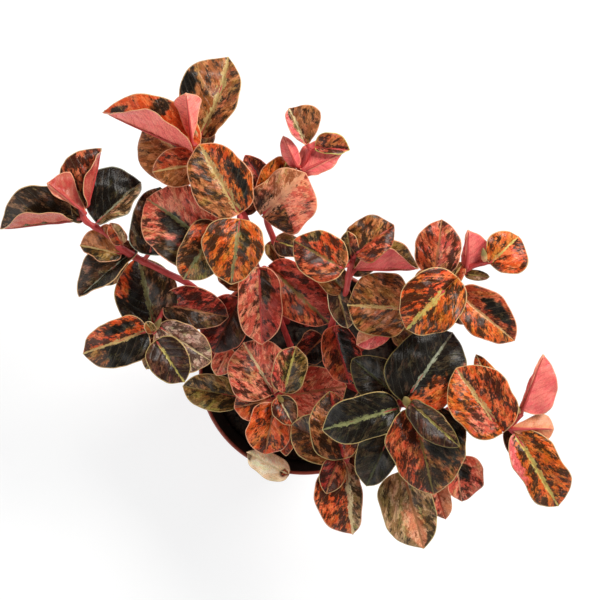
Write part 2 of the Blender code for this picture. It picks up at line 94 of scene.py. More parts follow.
# degrees that a half rises by at the midrib and bends by up to its margin, and the fold above which
# it closes less at both ends
RISE = 8
BEND = -20
STEEP = 75

# a blade in mm: its thickness and how much thinner its margin is, and its relief between the side
# veins, along the midrib and over the whole blade
THICKNESS = 0.62
THINNING = 0.30
QUILT = 0.28
GROOVE = 0.50
GROOVE_WIDTH = 0.9
SWELL = 0.90
# in-plane waver of a blade's margin, as a share of its half width
WAVER = 0.13
# how the side veins lean and bend with the distance from the midrib, and their pitch in mm
VEIN_LEAN = 0.6
VEIN_BEND = 0.018
VEIN_PITCH = 5.5

# places in a piece's list of materials
LEAF, STALK, BUD = range(3)


def table(text):
    """The rows of a text table, with its numbers as numbers and its words as words."""
    def value(word):
        try:
            return float(word)
        except ValueError:
            return word
    return [[value(word) for word in line.split()] for line in text.strip().splitlines()]


# node and slot of each leafy stem
STEM_NODES = {key: names for key, *names in table("""
a stem_far_left leaf_dark
b stem_left leaf_brown
c stem_centre_left leaf_orange
p stem_back_left leaf_brown
t stem_back leaf_pink
f stem_centre_back leaf_brown
e stem_right leaf_orange
g stem_centre leaf_pink
r stem_low_front leaf_orange
h stem_front leaf_brown
i stem_front_right leaf_dark
j stem_front_low_right leaf_brown
k stem_far_right leaf_orange
""")}

# marks along each stem: plan x, plan y, height above the rim in mm
STEMS = {}
for key, *marks in table("""
a 236 338 -10 216 312 18 193 287 41 165 272 52.5 143 261 57.4 122 249 60.7 103 232 64 86 221 67.2
a 81 209 70.5
b 234 366 -10 205 352 18 180 342 34.4 160 336 45.9 153 330 48.4
c 258 332 -10 248 292 28.7 241 245 62.3 240 217 82.8
p 286 320 -10 268 290 23 255 262 41 250 228 57.4 225 188 69.7 199 158 76.3 198 140 79.5
t 306 322 -10 291 280 24.6 274 240 49.2 267 215 62.3 283 192 68.9 303 165 77.9 310 148 81.2
f 326 345 -10 330 332 16.4 334 318 32.8 345 295 55.8 350 268 72.2 353 258 75.4
e 356 352 -10 376 336 24.6 405 311 50.8 443 292 72.2 463 271 78.7 485 262 82
g 290 345 -10 275 305 24.6 264 268 50.8
r 284 412 -10 281 402 8.2 278 396 19.7
h 336 412 -10 348 428 12.3 353 444 26.2 346 460 34.4
i 346 384 -10 372 396 28.7 403 404 59 409 405 63.1
j 358 404 -10 374 424 9.8 398 446 24.6 425 462 32.8 450 456 36.1
k 368 366 -10 388 390 14.8 415 410 32.8 440 414 41 452 409 44.3 475 418 50.8 500 428 55.8
k 512 424 59 521 414 62.3
"""):
    STEMS[key] = STEMS.get(key, []) + np.reshape(marks, (-1, 3)).tolist()

# each leaf: stem, name, foot and tip on the plan with heights in mm, widths of the left and right
# half in plan steps, and how far each is folded up in degrees; a turned leaf shows its underside,
# peak is where it is widest, and lobe, sway and wedge shape its foot and midrib
Leaf = namedtuple("Leaf", "stem foot tip widths folds extra")
LEAVES = {}
for stem, name, *row in table("""
a a1 70 220 69 0 229 62 28 39 118 14
a a2 85 213 76 47 183 85 23 5 14 12 peak .74 wedge .8 turned 1
a a3 87 205 72 101 148 74 34 24 12 112 peak .52
a a4 98.1 221 68 141 182 64 37 20 10 60 peak .58
a a5 82.7 219.8 66 58 196 69 10 10 15 15
a a6 119.8 253.7 60 79 245 59 11 26 15 15 peak .38
a a7 134 250 56 79 297 47 16 27 62 14
a a8 122.6 242.8 62 110 223 71 10 9 20 20
a a9 122 257 38 104 286 32 12 12 12 12
a a10 150 252 64 160 186 63 26 25 14 14
b b1 153 322 39 138 256 39 32 31 14 14
b b2 145 332 49 82 354 41 28 24 14 14
b b3 157 342 52 185 383 49 19 20 14 14
b b4 161 328 48 211 361 41 18 29 14 12 peak .6
b b5 153 332.6 51 146 322 59 6 6 25 25
b b6 156 340 42 146 370 38 12 9 12 12
b m1 166 305 44 229 317 39 25 20 12 12
c c4 239.6 221.8 87 231 284 81 27 34 12 12
c c1 238.1 210.4 85 199 144 93 32 31 12 16
c c3 217 226 79 183 280 77 27 24 10 14
c c2 207 240 70 146 198 71 42 40 14 14 lobe .22
c m2 238 300 34 213 354 29 22 26 12 12
c m3 229 349 18 216 376 16 11 11 14 14
p p1 192.5 151.8 80 103 110 76 33 36 125 14
p p2 192 144 86 186 93 94 17 15 34 34 peak .8 wedge .9 turned 1
p p3 201.1 133.7 78 228 56 76 40 22 12 28 peak .48 sway -4
p p4 194 163 75 143 126 69 36 22 12 12
p p5 194 165 79 152 172 82 20 21 14 14
p p6 201 151 74 213 128 72 8 8 15 15
t t1 306 142.8 84 289 108 94 11 29 16 16 peak .58 wedge .4
t t2 316.4 147.2 82 350 150 80 17 6 20 20 peak .32
t t3 303.6 171.7 80 342 153 78 10 25 16 20 peak .34 turned 1
t t9 296.4 165.7 81 283 136 84 8 9 20 20 turned 1
t t4 263 214 69 306 173 82 24 38 12 12
t t5 268 199 70 290 156 75 20 18 16 16
t t6 268 194 66 245 155 67 13 14 12 12
t t7 276 241.2 51 305 250 51 12 13 14 14
t t8 269 243 48 283 263 46 8 9 14 14
f f1 342 268 85 293 240 85 24 24 14 14
f f2 356.9 253 82 394 225 80 27 18 14 14
f f3 351.4 258.3 75 347 231 89 9 10 20 20
f f4 356.7 268 67 419 268 63 31 30 12 130
f g3 337 287 56 348 329 48 14 14 14 14
f g5 323 338 23 300 360 20 18 16 12 12
f n1 334.2 328.6 31 350 385 24 20 20 12 12
e e1 435 273 80 442 219 85 24 24 14 14
e e3 450.7 281.5 79 464 262 80 9 9 20 20
e e5 444 291 89 406 330 85 30 32 12 12 lobe .36
e e6 466.2 265.2 81 468 230 88 28 6 20 20 peak .32 turned 1
e e7 490.8 262.3 84 519 236 81 18 27 14 14 peak .55
e e8 466 274 75 490 277 74 6 6 12 12
e e9 459 295 75 515 341 66 25 21 14 14
e g4 402.2 308.7 51 347 305 60 32 38 14 14 lobe .12
e n2 389.2 328.4 39 356 345 36 12 14 12 12
g g1 259.1 270.4 55 262 345 49 23 24 14 14
g g2 270.7 268.7 51 330 324 41 26 26 14 14
r g6 284 391 25 296 346 31 18 18 14 14
r g7 272.7 391.5 21 243 342 24 34 31 14 14
r g8 270 400 18 234 408 15 19 19 14 14
r g9 279 398 26 293 425 28 13 13 16 16
r g10 274 405 22 265 455 16 22 24 14 14 peak .56
r g11 281.2 407.6 13 286 456 8 14 12 12 12
r l1 286 396 13 347 386 10 25 25 12 12
r m4 238 397 10 182 386 7 20 19 12 12
h h1 339 447 36 291 425 32 26 22 12 12
h h2 343 456 40 330 391 38 28 20 12 16
h j1 338 459 38 326 494 40 13 13 16 16
h j2 346.2 466.5 34 353 536 25 13 35 14 14
i i1 396 409 64 322 430 60 25 26 14 14
i i2 397 396 59 352 359 54 23 23 14 14
i i3 411 392 67 453 332 61 39 38 14 14 lobe .18
i i4 412 404 70 460 447 71 13 18 28 14
i i5 415 416 65 434 495 54 46 34 14 14 lobe .12
i i6 396 422 57 366 487 49 19 26 14 14 peak .56
j j3 404 474 36 424 549 28 25 35 14 14
j j4 430 469 33 446 520 26 14 14 12 12
j j5 455.2 458.4 39 462 502 33 28 14 14 14
k k1 494 420 69 456 368 74 32 35 12 14 lobe .25
k k2 504 414 56 476 354 57 14 14 12 12
k k3 522.4 408.3 66 543 355 69 31 6 18 18 peak .3 turned 1
k k4 512.8 429 61 554 429 59 12 16 20 20 peak .7 wedge .5 turned 1
k k5 517 436 60 559 507 49 28 20 14 14 peak .64
c c_low1 244 284.3 31 218 268 26 13 13 12 12
p p_low1 231.9 199 64 207 196 57 16 14 12 12
p p_low2 240.8 211.1 61 263 186 54 13 12 12 12
t t_low1 297 275 26 328 264 21 14 14 12 12
f f_low1 349.9 269.5 65 384 249 60 15 15 12 12
f f_low2 343.3 290.1 56 319 262 54 15 15 12 12
e e_low1 439.4 296.8 67 478 318 56 17 17 12 12
e e_low2 420.5 301.4 57 432 268 51 15 15 12 12
e e_low3 398 324.8 41 428 346 36 18 18 12 12
b b_low1 160 337 38 110 347 27 18 18 12 12
b b_low2 199 352 16 170 364 10 13 13 12 12
a a_low1 209 309.2 20 180 312 15 13 13 12 12
a a_low2 126 253 54 92 266 44 12 12 12 12
i i_low1 400.2 398.7 52 428 370 46 19 19 12 12
i i_low2 388 401.7 51 350 407 48 17 17 12 12
k k_low1 483.6 420.4 51 463 387 46 17 17 12 12
k k_low2 509 429 54 540 468 43 14 14 12 12
j j_low1 422.4 460.4 30 402 438 25 14 14 12 12
h h_low1 349 457 30 376 454 25 13 13 12 12
- withered_leaf 287 474 2 246 452 2 15 13 -22 -20
"""):
    extra = dict(zip(row[10::2], row[11::2]))
    LEAVES[name] = Leaf(stem, row[:3], row[3:6], row[6:8], row[8:10], extra)

# closed buds at the growing tips: stem, foot, tip, half width in plan steps
BUDS = table("""
a 81 208 70.5 79 191 77.1 3.2
b 154 331 49.2 161 318 55.8 2.6
t 267 213 63.1 265 200 73.8 3.6
i 408 405 64 405 397 75.4 3.4
p 198 139 80.4 193 128 85.3 2.6
e 485 262 82.8 483 248 88.6 2.6
k 521 413 62.3 513 404 70.5 2.4
r 278 396 19.7 283 402 31.2 2.8
""")

# single colours, in screen values
COLOURS = {name: values for name, *values in table("""
cream 224 204 156
lemon 190 176 96
khaki 190 164 106
sand 206 168 116
peach 222 160 122
salmon 214 116 88
tan 166 112 72
olive 128 112 62
moss 74 76 46
green 134 136 90
silver 146 150 126
rose 186 70 66
red 178 46 42
deep_red 126 30 30
rust 152 62 36
bronze 96 50 28
""")}

# the dark, the main and the light tone of each kind of blade
TONES = {kind: np.reshape(values, (3, 3)) for kind, *values in table("""
flame 54 26 12 200 76 32 226 116 66
orange 48 28 12 190 82 26 218 118 52
brown 46 28 14 140 78 38 188 120 74
rust 52 24 14 158 62 34 200 104 66
red 44 20 14 144 46 34 188 78 62
coral 62 30 18 194 84 64 228 140 108
umber 36 24 14 88 54 32 138 100 70
olive 36 28 14 112 80 38 158 124 70
khaki 56 42 26 138 104 66 192 156 116
mauve 70 48 38 144 104 86 206 172 152
night 18 14 10 42 33 22 66 55 38
grape 38 22 16 72 38 26 112 74 54
blush 120 44 34 178 66 58 214 110 98
pink 164 66 58 222 98 98 240 146 138
blossom 176 74 66 242 122 114 248 168 158
peach 140 76 44 202 128 90 226 168 130
parchment 236 194 148 255 224 182 255 238 208
""")}

# looks of each leaf: kinds of its left and right half, their shares of dark blotches, midrib
# colour, midrib half width in mm, margin colour, and the kind of the underside if it isn't coral;
# a4's khaki right half is a painted reflection of the light on its fold
Look = namedtuple("Look", "left right dark_left dark_right rib rib_width margin under",
                  defaults=["coral"])
LOOKS = {name: Look(*row) for name, *row in table("""
a1 umber umber .45 .55 olive .8 sand
a2 coral coral .2 .2 rose .6 salmon blush
a3 rust rust .58 .5 lemon .7 sand blush
a4 night khaki .68 .5 silver .7 silver pink
a5 khaki brown .5 .4 khaki .5 sand pink
a6 olive brown .37 .02 khaki .7 peach pink
a7 night umber .3 .4 silver .6 sand khaki
a8 rust khaki .35 .15 peach .5 peach pink
a9 olive olive .4 .3 olive .6 khaki
a10 umber night .4 .55 moss .5 silver
b1 night umber .62 .42 green 1.8 khaki
b2 night flame .6 .46 khaki 1.2 sand
b3 grape grape .55 .45 lemon .9 khaki
b4 mauve mauve .3 .45 cream .8 sand pink
b5 brown olive .15 .2 khaki .4 cream pink
b6 khaki khaki .3 .3 khaki .5 sand
m1 red umber .46 .5 tan .7 peach pink
m2 grape red .62 .35 bronze .8 salmon
m3 coral coral .18 .12 peach .5 cream pink
m4 olive olive .25 .35 olive .4 khaki
c4 orange orange .38 .42 green 1.3 sand
c1 brown orange .26 .4 khaki 2.4 peach pink
c3 olive brown .28 .55 green 1.2 sand
c2 coral coral .3 .1 green 1.5 peach pink
p1 flame flame .12 .02 rust .6 sand blossom
p2 coral coral .3 .2 rose .6 cream blossom
p3 brown brown .16 .3 khaki 2.2 sand pink
p4 brown brown .08 .22 sand 1.2 tan
p5 brown rust .05 .2 khaki 1 peach
p6 umber umber .5 .5 olive .5 tan
t1 khaki brown .2 .16 cream 1 peach pink
t2 rust coral .3 .42 rose .5 lemon
t3 coral coral .2 .2 rose .6 peach pink
t9 coral coral .2 .2 rose .4 peach pink
t4 peach coral .4 .12 peach 3.4 peach pink
t5 orange brown .22 .34 lemon .8 peach pink
t6 rust rust .3 .58 rose .6 salmon
t7 umber grape .35 .48 lemon .6 peach
t8 olive olive .3 .3 khaki .6 sand pink
f1 rust flame .38 .36 olive 1 sand pink
f2 brown rust .42 .48 rust .8 tan
f3 olive rust .3 .5 khaki .5 sand
f4 olive brown .12 .2 khaki .8 peach pink
g3 umber grape .5 .42 khaki .6 cream
g5 night red .6 .6 tan .6 tan
n1 red rust .6 .25 rose .8 salmon
e1 rust coral .3 .42 tan 1 peach pink
e3 olive rust .25 .12 khaki .5 sand
e5 orange flame .42 .56 lemon 2 sand
e6 coral rust .2 .3 rose .6 peach pink
e7 orange flame .2 .24 lemon .9 sand
e8 olive khaki .15 .2 lemon .4 khaki
e9 rust orange .2 .36 sand .9 peach pink
g4 brown brown .24 .2 khaki 1.3 khaki
n2 pink peach .05 .05 peach .6 peach pink
g1 red coral .12 .2 rose .8 peach pink
g2 red rust .14 .22 olive 1.5 salmon pink
g6 coral olive .44 .26 lemon .8 sand
g7 coral coral .36 .18 cream .9 peach pink
g8 flame rust .16 .3 tan .7 peach
g9 umber rust .35 .55 cream .6 sand
g10 flame flame .2 .26 tan .7 peach
g11 rust rust .3 .3 tan .6 sand
l1 coral coral .12 .1 tan .8 khaki
h1 brown umber .3 .35 bronze .8 khaki
h2 brown rust .55 .36 red 1.2 khaki
j1 rust red .38 .42 tan .6 sand
j2 khaki flame .3 .42 cream 1.7 peach
i1 night night .52 .62 green 1.7 khaki
i2 night night .34 .42 moss 1 olive
i3 night night .7 .62 silver 1.1 olive
i4 umber grape .4 .58 lemon .8 olive pink
i5 brown rust .3 .4 olive 1 khaki
i6 night night .3 .2 moss .8 khaki
j3 khaki khaki .4 .15 tan 1.2 khaki pink
j4 peach coral .05 .2 rust .6 peach
j5 coral coral .2 .2 peach .7 peach pink
k1 orange flame .32 .36 khaki 1.7 sand
k2 orange orange .32 .32 khaki .8 sand
k3 brown brown .3 .3 rose .5 peach pink
k4 peach coral .2 .2 peach .8 peach peach
k5 orange orange .4 .42 lemon 1.5 sand pink
withered_leaf parchment parchment .1 .14 cream .5 sand parchment
low brown umber .42 .45 olive .7 tan
""")}

# places of other tones on some leaves: u, v, reach along, reach across, kind, share of blotches;
# the khaki patch on a4 is a painted reflection on its fold, like its khaki half
PATCHES = {}
for name, *patch in table("""
a4 .45 -.7 .5 .3 khaki .3
b1 .75 .8 .3 .3 flame .3
b2 .35 -.55 .22 .18 night .7
b2 .85 .5 .2 .5 brown .5
c1 .3 -.62 .3 .14 night .8
c1 .8 -.55 .16 .28 flame .2
c2 .42 .16 .26 .26 night .5
c2 .3 .8 .3 .24 umber .6
c2 .88 0 .14 .5 coral .05
c3 .25 -.5 .16 .45 flame .2
c3 .92 -.2 .16 .5 orange .2
c4 .3 .3 .16 .2 olive .7
p1 .5 -.75 .09 .3 umber .7
p1 .86 -.3 .08 .3 umber .6
p3 .55 .85 .16 .24 night .7
f1 .72 -.65 .14 .3 olive .7
f1 .12 -.6 .12 .4 brown .4
g1 .2 .3 .25 .3 umber .6
g6 .5 .2 .3 .25 olive .5
n1 .45 .3 .36 .36 night .8
i3 .15 -.75 .32 .46 flame .25
i3 .45 -.95 .25 .12 flame .2
i5 .3 .55 .42 .45 night .5
i5 .8 0 .2 .5 umber .5
g8 .35 .35 .22 .3 grape .6
t1 .5 .8 .6 .4 pink .05
t4 .12 .3 .22 .6 umber .5
t4 .12 -.5 .18 .5 brown .6
t4 .6 -.75 .35 .25 coral .05
e9 .55 .55 .26 .25 night .7
j5 .3 .3 .2 .26 night .6
j3 .84 -.05 .4 .42 peach .1
k1 .45 -.6 .2 .25 rust .6
k1 .15 .45 .2 .4 coral .3
k5 .25 -.9 .3 .35 pink .05
withered_leaf .04 0 .1 .5 rust .3
withered_leaf .92 .3 .12 .4 khaki .2
"""):
    PATCHES.setdefault(name, []).append(patch)


def linear(name, tone=None):
    """A named colour, or one tone of a named kind of blade, as the shader wants it."""
    out = [c / 255.0 for c in (COLOURS[name] if tone is None else TONES[name][tone])]
    return np.array([c / 12.92 if c <= 0.04045 else ((c + 0.055) / 1.055) ** 2.4 for c in out])


def place(x, y, height):
    """Plan position and height above the rim, as numbers or arrays, to metres."""
    near = (EYE_HEIGHT - height) / EYE_HEIGHT
    px = (PLAN_EYE[0] - PLAN_RIM_CENTRE[0]) + (x - PLAN_EYE[0]) * near
    py = (PLAN_RIM_CENTRE[1] - PLAN_EYE[1]) + (PLAN_EYE[1] - y) * near
    up = height + RIM_HEIGHT * 1000.0
    return np.stack(np.broadcast_arrays(px * PLAN_STEP, py * PLAN_STEP, up), -1) * MM


def noise_at(x, y, z):
    """Smooth noise at each point of some arrays."""
    spots = np.stack(np.broadcast_arrays(x, y, z), -1)
    values = [noise.noise(Vector(spot)) for spot in spots.reshape(-1, 3)]
    return np.reshape(values, spots.shape[:-1])


def share_of_width(u, extra):
    """Rounded or wedge-shaped at the foot, widest at the peak, with a short point at the tip."""
    peak = extra.get("peak", WIDEST)
    foot = np.clip((peak - u) / peak, 0, 1)
    tip = np.clip((u - peak) / (1 - peak), 0, 1)
    share = (1 - foot ** 2.5) ** 0.4 * (1 - tip ** 2) ** (0.57 + 0.25 * tip ** 4)
    slim = np.clip(u / peak, 0.1, 1) ** extra.get("wedge", 0.0)
    return np.maximum(share * slim, 0.015)


def foot_lobe(leaf, length, u, v):
    """How far the blade reaches back at its foot, beside the stalk."""
    return leaf.extra.get("lobe", LOBE) * length * np.abs(v) ** 1.6 * (1 - u) ** 2.2


def blade_surface(leaf, u, v):
    """The middle of the blade: u from foot to tip, v from the right margin to the left."""
    foot, extra = leaf.foot, leaf.extra
    dx, dy, climb = np.subtract(leaf.tip, foot)
    length = math.hypot(dx, dy)
    ax, ay = dx / length, dy / length
    width = np.where(v > 0, *leaf.widths)
    fold = np.where(v > 0, *leaf.folds) + 0.0 * u
    crisp = np.sqrt(np.clip(4 * u * (1 - u), 0, 1))
    fold = np.where(fold > STEEP, STEEP + (fold - STEEP) * crisp, fold)
    start = np.radians(fold + RISE)
    bend = math.radians(BEND)
    now = start + bend * np.abs(v)
    reach = (np.sin(now) - np.sin(start)) / bend
    rise = (np.cos(start) - np.cos(now)) / bend
    share = share_of_width(u, extra)
    turned = -1 if "turned" in extra else 1
    side = turned * width * share * reach * np.where(v > 0, 1, -1)
    side = side + extra.get("sway", 0) * 4 * u * (1 - u)
    lift = turned * width * share * rise * PLAN_STEP
    bow = BOW * math.hypot(length * PLAN_STEP, climb) * 4 * u * (1 - u)
    along = length * u - foot_lobe(leaf, length, u, v)
    height = foot[2] + climb * u + bow + lift
    return place(foot[0] + ax * along + ay * side, foot[1] + ay * along - ax * side, height)


def surface_normals(points):
    normal = np.cross(np.gradient(points, axis=0), np.gradient(points, axis=1))
    return normal / np.maximum(np.linalg.norm(normal, axis=-1, keepdims=True), 1e-12)


def distance_to_outline(flat, outline):
    """Smallest distance of each flat point to the closed outline."""
    step = np.roll(outline, -1, axis=0) - outline
    square = np.maximum((step ** 2).sum(-1), 1e-9)
    rel = flat[:, :, None, :] - outline
    t = np.clip((rel * step).sum(-1) / square, 0, 1)
    gap = rel - t[..., None] * step
    return np.sqrt((gap ** 2).sum(-1)).min(-1)


def new_object(name, data):
    """An object in the scene around a mesh, a lamp or a camera."""
    obj = bpy.data.objects.new(name, data)
    bpy.context.scene.collection.objects.link(obj)
    return obj


def new_mesh(name, bm):
    mesh = bpy.data.meshes.new(name)
    bm.to_mesh(mesh)
    bm.free()
    return mesh


class Piece:
    """Collects the points, faces and per-point values of one piece."""

    FIELDS = {"flat": 3, "dark": 4, "ground": 4, "light": 4, "rib": 4, "margin": 4, "under": 4,
              "edge": 1, "amount": 1, "rib_share": 1, "side": 1}
    LAYERS = {1: ("FLOAT", "value"), 3: ("FLOAT_VECTOR", "vector"), 4: ("FLOAT_COLOR", "color")}

    def __init__(self):
        self.points = []
        self.faces = []
        self.slots = []
        self.values = {key: [] for key in self.FIELDS}
        self.count = 0

    def add(self, points, faces, slot, **values):
        """Adds points and faces, with values for each point or one for all of them."""
        points = points.reshape(-1, 3)
        self.points.append(points)
        self.faces += [tuple(int(i) + self.count for i in face) for face in faces]
        self.slots += [slot] * len(faces)
        for key, size in self.FIELDS.items():
            size = min(size, 3)
            given = np.reshape(values.get(key, np.zeros(size)), (-1, size))
            self.values[key].append(np.broadcast_to(given, (len(points), size)))
        self.count += len(points)

    def build(self, name, materials):
        mesh = bpy.data.meshes.new(name)
        mesh.from_pydata(np.concatenate(self.points).tolist(), [], self.faces)
        for key, size in self.FIELDS.items():
            kind, prop = self.LAYERS[size]
            layer = mesh.attributes.new(key, kind, "POINT")
            data = np.ones((self.count, size), np.float32)
            data[:, :3] = np.concatenate(self.values[key])
            layer.data.foreach_set(prop, data.ravel())
        for made in materials:
            mesh.materials.append(made)
        mesh.polygons.foreach_set("material_index", self.slots)
        mesh.update()
        mesh.shade_smooth()
        return new_object(name, mesh)


def grid_faces(rows, columns):
    """Both skins of a sheet and the strip round its margin."""
    top = np.arange(rows * columns).reshape(rows, columns)
    low = top + rows * columns
    faces = []
    for i in range(rows - 1):
        for j in range(columns - 1):
            faces.append((top[i, j], top[i + 1, j], top[i + 1, j + 1], top[i, j + 1]))
            faces.append((low[i, j], low[i, j + 1], low[i + 1, j + 1], low[i + 1, j]))
        faces.append((top[i + 1, 0], top[i, 0], low[i, 0], low[i + 1, 0]))
        faces.append((top[i, -1], top[i + 1, -1], low[i + 1, -1], low[i, -1]))
    for j in range(columns - 1):
        faces.append((top[0, j], top[0, j + 1], low[0, j + 1], low[0, j]))
        faces.append((top[-1, j + 1], top[-1, j], low[-1, j], low[-1, j + 1]))
    return faces


class Blade:
    """One leaf blade, on a grid: u from foot to tip and v from the right margin to the left."""

    def __init__(self, name):
        self.name = name
        self.leaf = leaf = LEAVES[name]
        self.look = LOOKS.get(name, LOOKS["low"])
        self.luck = random.Random("leaf " + name)
        self.seed = self.luck.uniform(0, 400)
        dx, dy, rise = np.subtract(leaf.tip, leaf.foot)
        self.length = math.hypot(math.hypot(dx, dy) * PLAN_STEP, rise)
        self.widest = max(leaf.widths) * PLAN_STEP
        # half widths in mm above which the grid has so many rows and columns
        grids = ((11, 41, 29), (7, 31, 21), (0, 23, 15))
        self.rows, self.columns = next(grid for width, *grid in grids if self.widest > width)
        t = np.linspace(0, 1, self.rows)
        s = np.linspace(-1, 1, self.columns)
        self.u = u = (0.45 * t + 0.55 * (0.5 - 0.5 * np.cos(np.pi * t)))[:, None]
        self.v = v = (np.sign(s) * np.abs(s) ** 0.92)[None, :]
        # the flat place of each point in mm: along and across the midrib
        back = foot_lobe(leaf, self.length, u, v)
        self.x = u * self.length - back
        self.y = v * (np.where(v > 0, *leaf.widths) * PLAN_STEP * share_of_width(u, leaf.extra))
        self.away = np.hypot(self.y, back)

    def middle(self):
        """The surface between the skins, with margins that waver in its plane."""
        u, v = self.u, self.v
        base = blade_surface(self.leaf, u, v)
        across = np.gradient(base, axis=1)
        across /= np.maximum(np.linalg.norm(across, axis=-1, keepdims=True), 1e-9)
        rough = noise_at(u * 3.2, self.seed, 0.7) + 0.2 * noise_at(u * 7.0, self.seed, 5.7)
        rough = rough * np.clip(7 * u, 0, 1) * np.clip(7 * (1 - u), 0, 1)
        shift = rough * np.abs(v) ** 1.5 * np.sign(v) * WAVER * self.widest * MM
        return base + across * shift[..., None]

    def relief(self):
        """What stands out of the middle surface in mm: quilting, groove, swelling and waves."""
        u, v, away, luck = self.u, self.v, self.away, self.luck
        run = self.x - VEIN_LEAN * away - VEIN_BEND * away ** 2
        quilt = 0.5 - 0.5 * np.cos(2 * np.pi * run / min(VEIN_PITCH, self.length / 6.0))
        room = np.clip(away / 1.5, 0, 1) * np.clip(1 - np.abs(v) ** 3, 0, 1)
        out = QUILT * quilt * room * min(1.0, self.widest / 10.0)
        out -= GROOVE * np.exp(-(away / GROOVE_WIDTH) ** 2) * np.clip(6 * (1 - u), 0, 1)
        swell = noise_at(self.x * 0.16, self.y * 0.16, self.seed)
        out += SWELL * swell * min(1.0, self.widest / 12.0)
        ends = np.clip(4 * u * (1 - u), 0, 1)
        for hand in (-1, 1):
            waves = luck.uniform(1.2, 2.4)
            phase = luck.uniform(0, 6.28)
            size = self.widest * luck.uniform(0.035, 0.09)
            wave = np.sin(2 * np.pi * waves * u + phase) * ends * size
            out += np.where(v * hand > 0, np.abs(v) ** 2.2 * wave, 0)
        out -= luck.uniform(0.0, 0.03) * self.length * u ** 5
        if self.name == "withered_leaf":
            out += 0.5 * np.sin(5 * u * 3.1 + 3 * v) * np.abs(v)
        return out

    def tones(self):
        """The dark, the main and the light tone at each point, and the share of blotches there."""
        u, v, look = self.u, self.v, self.look
        left = (v > 0)[..., None]
        none = 0 * self.x[..., None]
        tones = [np.where(left, linear(look.left, k), linear(look.right, k)) + none
                 for k in range(3)]
        amount = np.where(left, look.dark_left, look.dark_right) + none
        for pu, pv, ru, rv, kind, share in PATCHES.get(self.name, []):
            wobble = 0.5 * noise_at(self.x * 0.45, self.y * 0.45, self.seed + 5)
            far = np.sqrt(((u - pu) / ru) ** 2 + ((v - pv) / rv) ** 2) + wobble
            cover = np.clip((1.12 - far) / 0.24, 0, 1)[..., None]
            tones = [tone * (1 - cover) + linear(kind, k) * cover for k, tone in enumerate(tones)]
            amount = amount * (1 - cover) + share * cover
        return tones, amount

    def add_to(self, piece):
        """Adds both skins, and returns the line under the midrib and the way down from it."""
        u, v, look = self.u, self.v, self.look
        middle = self.middle()
        middle = middle + surface_normals(middle) * self.relief()[..., None] * MM
        normal = surface_normals(middle)
        thick = (THICKNESS - THINNING * np.abs(v) ** 4) * MM
        thick = thick * np.clip(0.45 + 5 * u * (1 - u), 0.45, 1)
        half = normal * thick[..., None] / 2
        flat = np.stack([self.x, self.y], -1)
        outline = np.concatenate([flat[:, 0], flat[::-1, -1]])
        tones, amount = self.tones()
        swell = (1 - u) ** 0.7 * (0.55 + 1.1 * u)
        values = {
            "flat": np.stack([self.x, self.y, self.seed + 0 * self.x], -1),
            "dark": tones[0],
            "ground": tones[1],
            "light": tones[2],
            "edge": distance_to_outline(flat, outline) * max(1.0, 9.0 / self.widest),
            "amount": amount,
            "rib_share": np.minimum(self.away / (look.rib_width * 1.35 * swell + 0.05), 9),
        }
        values = {key: np.concatenate([value, value]) for key, value in values.items()}
        upper, lower = middle + half, middle - half
        piece.add(np.concatenate([upper, lower]), grid_faces(self.rows, self.columns), LEAF,
                  side=np.repeat([1, -1], self.rows * self.columns), rib=linear(look.rib),
                  margin=linear(look.margin), under=linear(look.under, 1), **values)
        return lower[:, self.columns // 2], -normal[:, self.columns // 2]


def smooth_line(marks, steps):
    """A smooth line through the marks."""
    marks = np.asarray(marks, float)
    padded = np.concatenate([2 * marks[:1] - marks[1:2], marks, 2 * marks[-1:] - marks[-2:-1]])
    out = []
    for p0, p1, p2, p3 in zip(padded, padded[1:], padded[2:], padded[3:]):
        for k in range(steps):
            t = k / steps
            out.append(0.5 * (2 * p1 + (p2 - p0) * t + (2 * p0 - 5 * p1 + 4 * p2 - p3) * t ** 2
                              + (3 * p1 - p0 - 3 * p2 + p3) * t ** 3))
    out.append(marks[-1])
    return np.array(out)


def add_tube(piece, line, radii, sides, slot, colour, seed):
    """A round tube with closed ends."""
    ahead = np.gradient(line, axis=0)
    ahead /= np.maximum(np.linalg.norm(ahead, axis=1, keepdims=True), 1e-12)
    side = np.cross(ahead[0], [0.3, 0.5, 0.81])
    side /= np.linalg.norm(side)
    rings = []
    run = 0.0
    flat = []
    turns = np.linspace(0, 2 * np.pi, sides, endpoint=False)
    for i, spot in enumerate(line):
        side = side - ahead[i] * np.dot(side, ahead[i])
        side /= np.linalg.norm(side)
        other = np.cross(ahead[i], side)
        if i:
            run += np.linalg.norm(line[i] - line[i - 1]) * 1000
        ring = np.cos(turns)[:, None] * side + np.sin(turns)[:, None] * other
        rings.append(spot + radii[i] * ring)
        flat += [(run, 1.5 * math.cos(a), seed + 1.5 * math.sin(a)) for a in turns]
    last = (len(line) - 1) * sides
    faces = []
    for start in range(0, last, sides):
        for k in range(sides):
            a = start + k
            b = start + (k + 1) % sides
            faces.append((a, b, b + sides, a + sides))
    faces.append(tuple(range(sides))[::-1])
    faces.append(tuple(range(last, last + sides)))
    piece.add(np.concatenate(rings), faces, slot, flat=flat, ground=colour)


def stem_line(key):
    """The stem's line, from under the soil up through its marks."""
    marks = [place(*mark) for mark in STEMS[key]]
    rise = (marks[1] - marks[0]) / np.linalg.norm(marks[1] - marks[0])
    foot = marks[0] - rise * 0.011
    return smooth_line([foot, marks[0], marks[0] + rise * 0.005] + marks[1:], 10)


def nearest_on(line, point):
    """The place on the upper stem that a leaf stalk grows from, a little under the leaf."""
    aim = point - np.array([0, 0, 0.003])
    open_line = line[line[:, 2] > RIM_HEIGHT - 0.004]
    return open_line[np.linalg.norm(open_line - aim, axis=1).argmin()]


